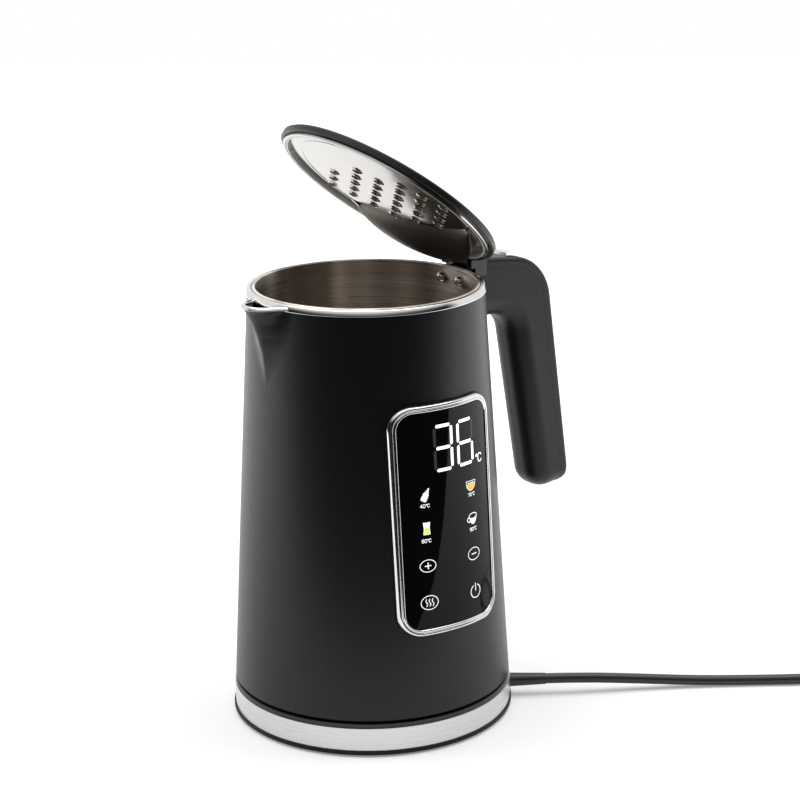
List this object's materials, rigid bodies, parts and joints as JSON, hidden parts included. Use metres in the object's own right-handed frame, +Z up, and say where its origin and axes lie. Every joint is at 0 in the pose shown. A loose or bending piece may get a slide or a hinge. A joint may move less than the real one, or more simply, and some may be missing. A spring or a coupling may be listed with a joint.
{
  "type": "electric kettle",
  "caption": "Electric jug kettle with a tapered black body, touch panel, spring lid, short V spout and side handle, standing on a round swivel power base with its cord.",
  "frame": {"origin": "middle of the power base, on the worktop under its feet", "axes": "+Z up, +X towards the handle, -X towards the spout, -Y towards the touch panel"},
  "size_m": [0.4685, 0.2597, 0.3288],
  "materials": {
    "shell_plastic": "matt black with a fine grain",
    "handle_plastic": "satin black",
    "black_plastic": "satin black",
    "polished_steel": "polished",
    "brushed_steel": "brushed round the pot",
    "satin_steel": "satin",
    "plain_steel": "plain zinc",
    "aluminium": "cast",
    "brass": "plated contact",
    "rubber": "matt silicone",
    "panel_glass": "gloss black lens",
    "light_guide": "milky diffuser",
    "circuit_board": "lacquered board",
    "cord_sheath": "soft sheen sheath",
    "cord_tie": "coated wire tie"
  },
  "bodies": {
    "base": {"base_pan": "black_plastic", "base_band": "satin_steel", "base_top": "black_plastic", "base_feet": "rubber", "base_screws": "plain_steel", "base_connector": "black_plastic", "base_contacts": "brass", "cord_gland": "cord_sheath", "cord_run": "cord_sheath", "cord_coil": "cord_sheath", "cord_tail": "cord_sheath", "cord_tie": "cord_tie", "plug": "cord_sheath", "plug_pins": "brass"},
    "collar": {"coupling_collar": "black_plastic"},
    "jug": {"button_spring": "plain_steel", "cover_screws": "plain_steel", "display_board": "circuit_board", "handle_body": "handle_plastic", "handle_bracket": "plain_steel", "handle_cover": "handle_plastic", "handle_screws": "plain_steel", "heater_disc": "aluminium", "heating_element": "plain_steel", "hinge_bracket": "handle_plastic", "hinge_pin": "plain_steel", "hinge_screws": "plain_steel", "inner_pot": "brushed_steel", "jug_bottom_cover": "black_plastic", "jug_connector": "black_plastic", "lid_spring": "plain_steel", "light_guide": "light_guide", "outer_shell": "shell_plastic", "panel_bezel": "polished_steel", "panel_gasket": "rubber", "panel_lens": "panel_glass", "pot_rivets": "polished_steel", "power_board": "circuit_board", "rim_ring": "polished_steel", "sensor_seal": "rubber", "spout_trim": "polished_steel", "temperature_sensor": "brushed_steel", "thermal_cutout": "black_plastic"},
    "lid": {"lid_cap": "shell_plastic", "lid_dish": "polished_steel", "lid_seal": "rubber", "lid_arm": "handle_plastic", "lid_screws": "plain_steel"},
    "button": {"release_button": "polished_steel"},
    "latch": {"latch_slider": "black_plastic"}
  },
  "joints": [
    {"name": "swivel", "type": "hinge", "parent": "base", "child": "collar", "pos_m": [0, 0, 0.0205], "axis": [0, 0, 1], "continuous": true},
    {"name": "lift", "type": "slide", "parent": "collar", "child": "jug", "axis": [0, 0, 1], "range_m": [0, 0.08]},
    {"name": "lid_hinge", "type": "hinge", "parent": "jug", "child": "lid", "pos_m": [0.069, 0, 0.2435], "axis": [0, 1, 0], "range_deg": [-38.5, 0], "stiffness_Nm_per_rad": 0.12, "springref_deg": 51.57},
    {"name": "press", "type": "slide", "parent": "jug", "child": "button", "axis": [-0.342, 0, -0.9397], "range_m": [0, 0.002], "stiffness_N_per_m": 400, "springref_m": -0.002},
    {"name": "unlatch", "type": "slide", "parent": "jug", "child": "latch", "axis": [0.9923, 0, -0.124], "range_m": [0, 0.002]}
  ],
  "couplings": [
    {"joint": "unlatch", "follows": "press", "ratio": 1}
  ]
}
